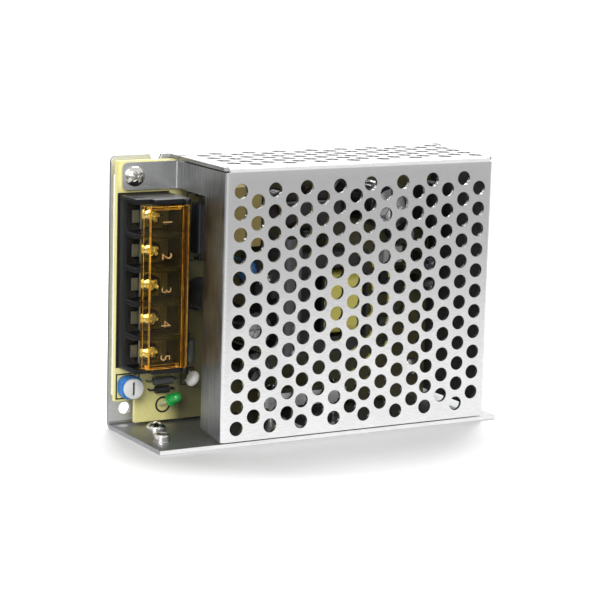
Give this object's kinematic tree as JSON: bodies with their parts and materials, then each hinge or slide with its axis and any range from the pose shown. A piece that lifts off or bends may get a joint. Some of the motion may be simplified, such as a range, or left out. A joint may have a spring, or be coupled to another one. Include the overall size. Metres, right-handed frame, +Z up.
{
  "type": "mesh case switching power supply",
  "caption": "Slim power supply on an L-shaped sheet chassis, with a folded perforated cover, a barrier terminal block under a hinged clear cover, a trimmer and a status lamp.",
  "frame": {"origin": "middle of the footprint of the whole part, on the outer face of the side plate it stands on", "axes": "+X along the chassis away from the terminals, +Y from the perforated front to the back plate, +Z up the back plate"},
  "size_m": [0.11, 0.036, 0.078],
  "materials": {
    "chassis_sheet": "satin",
    "cover_sheet": "satin",
    "plated_steel": "satin",
    "polyester_film": "matte",
    "board_laminate": "satin",
    "black_moulding": "satin",
    "amber_moulding": "gloss",
    "blue_moulding": "gloss",
    "white_moulding": "satin",
    "green_lens": "gloss",
    "ferrite": "matte",
    "yellow_tape": "gloss",
    "capacitor_sleeve": "gloss",
    "copper_wire": "gloss",
    "grey_moulding": "satin",
    "bar_aluminium": "satin",
    "resistor_coat": "satin"
  },
  "bodies": {
    "frame": {"chassis": "chassis_sheet", "mesh_cover": "cover_sheet", "cover_screw": "plated_steel", "earth_screw": "plated_steel", "board_standoffs": "plated_steel", "board_screws": "plated_steel", "insulating_film": "polyester_film", "circuit_board": "board_laminate", "terminal_block": "black_moulding", "contact_plates": "plated_steel", "trimmer_body": "blue_moulding", "status_lamp": "green_lens", "transformer_core": "ferrite", "transformer_bobbin": "black_moulding", "transformer_winding": "yellow_tape", "bulk_capacitor": "capacitor_sleeve", "output_capacitor_1": "capacitor_sleeve", "output_capacitor_2": "capacitor_sleeve", "filter_core": "ferrite", "filter_winding_1": "copper_wire", "filter_winding_2": "copper_wire", "mains_capacitor": "grey_moulding", "blue_capacitor": "blue_moulding", "white_capacitor": "white_moulding", "small_capacitors": "capacitor_sleeve", "bridge_rectifier": "black_moulding", "fuse": "black_moulding", "thermistor": "black_moulding", "switching_transistor": "black_moulding", "insulating_pad": "grey_moulding", "clamp_bar": "bar_aluminium", "clamp_bar_screws": "plated_steel", "output_rectifier": "black_moulding", "rectifier_screw": "plated_steel", "heat_spreader": "bar_aluminium", "control_chip": "black_moulding", "optocoupler": "white_moulding", "output_inductor": "ferrite", "resistors": "resistor_coat", "diodes": "black_moulding"},
    "terminal_lid": {"terminal_cover": "amber_moulding"},
    "dial": {"trimmer_dial": "white_moulding"},
    "clamp_1": {"clamp_plate_1": "plated_steel"},
    "screw_1": {"terminal_screw_1": "plated_steel"},
    "clamp_2": {"clamp_plate_2": "plated_steel"},
    "screw_2": {"terminal_screw_2": "plated_steel"},
    "clamp_3": {"clamp_plate_3": "plated_steel"},
    "screw_3": {"terminal_screw_3": "plated_steel"},
    "clamp_4": {"clamp_plate_4": "plated_steel"},
    "screw_4": {"terminal_screw_4": "plated_steel"},
    "clamp_5": {"clamp_plate_5": "plated_steel"},
    "screw_5": {"terminal_screw_5": "plated_steel"}
  },
  "joints": [
    {"name": "lid_hinge", "type": "hinge", "parent": "frame", "child": "terminal_lid", "pos_m": [-0.0402, -0.0015, 0.0432], "axis": [0, 0, 1], "range_deg": [0, 95]},
    {"name": "trimmer_turn", "type": "hinge", "parent": "frame", "child": "dial", "pos_m": [-0.051, 0.0083, 0.0129], "axis": [0, -1, 0], "range_deg": [-105, 105]},
    {"name": "clamp_1_lift", "type": "slide", "parent": "frame", "child": "clamp_1", "axis": [0, -1, 0], "range_m": [0, 0.003]},
    {"name": "screw_1_turn", "type": "hinge", "parent": "clamp_1", "child": "screw_1", "pos_m": [-0.0475, 0.0056, 0.0622], "axis": [0, -1, 0], "range_deg": [0, 2160]},
    {"name": "clamp_2_lift", "type": "slide", "parent": "frame", "child": "clamp_2", "axis": [0, -1, 0], "range_m": [0, 0.003]},
    {"name": "screw_2_turn", "type": "hinge", "parent": "clamp_2", "child": "screw_2", "pos_m": [-0.0475, 0.0056, 0.0527], "axis": [0, -1, 0], "range_deg": [0, 2160]},
    {"name": "clamp_3_lift", "type": "slide", "parent": "frame", "child": "clamp_3", "axis": [0, -1, 0], "range_m": [0, 0.003]},
    {"name": "screw_3_turn", "type": "hinge", "parent": "clamp_3", "child": "screw_3", "pos_m": [-0.0475, 0.0056, 0.0432], "axis": [0, -1, 0], "range_deg": [0, 2160]},
    {"name": "clamp_4_lift", "type": "slide", "parent": "frame", "child": "clamp_4", "axis": [0, -1, 0], "range_m": [0, 0.003]},
    {"name": "screw_4_turn", "type": "hinge", "parent": "clamp_4", "child": "screw_4", "pos_m": [-0.0475, 0.0056, 0.0337], "axis": [0, -1, 0], "range_deg": [0, 2160]},
    {"name": "clamp_5_lift", "type": "slide", "parent": "frame", "child": "clamp_5", "axis": [0, -1, 0], "range_m": [0, 0.003]},
    {"name": "screw_5_turn", "type": "hinge", "parent": "clamp_5", "child": "screw_5", "pos_m": [-0.0475, 0.0056, 0.0242], "axis": [0, -1, 0], "range_deg": [0, 2160]}
  ],
  "couplings": [
    {"joint": "screw_1_turn", "follows": "clamp_1_lift", "rad_per_m": 12566},
    {"joint": "screw_2_turn", "follows": "clamp_2_lift", "rad_per_m": 12566},
    {"joint": "screw_3_turn", "follows": "clamp_3_lift", "rad_per_m": 12566},
    {"joint": "screw_4_turn", "follows": "clamp_4_lift", "rad_per_m": 12566},
    {"joint": "screw_5_turn", "follows": "clamp_5_lift", "rad_per_m": 12566}
  ]
}
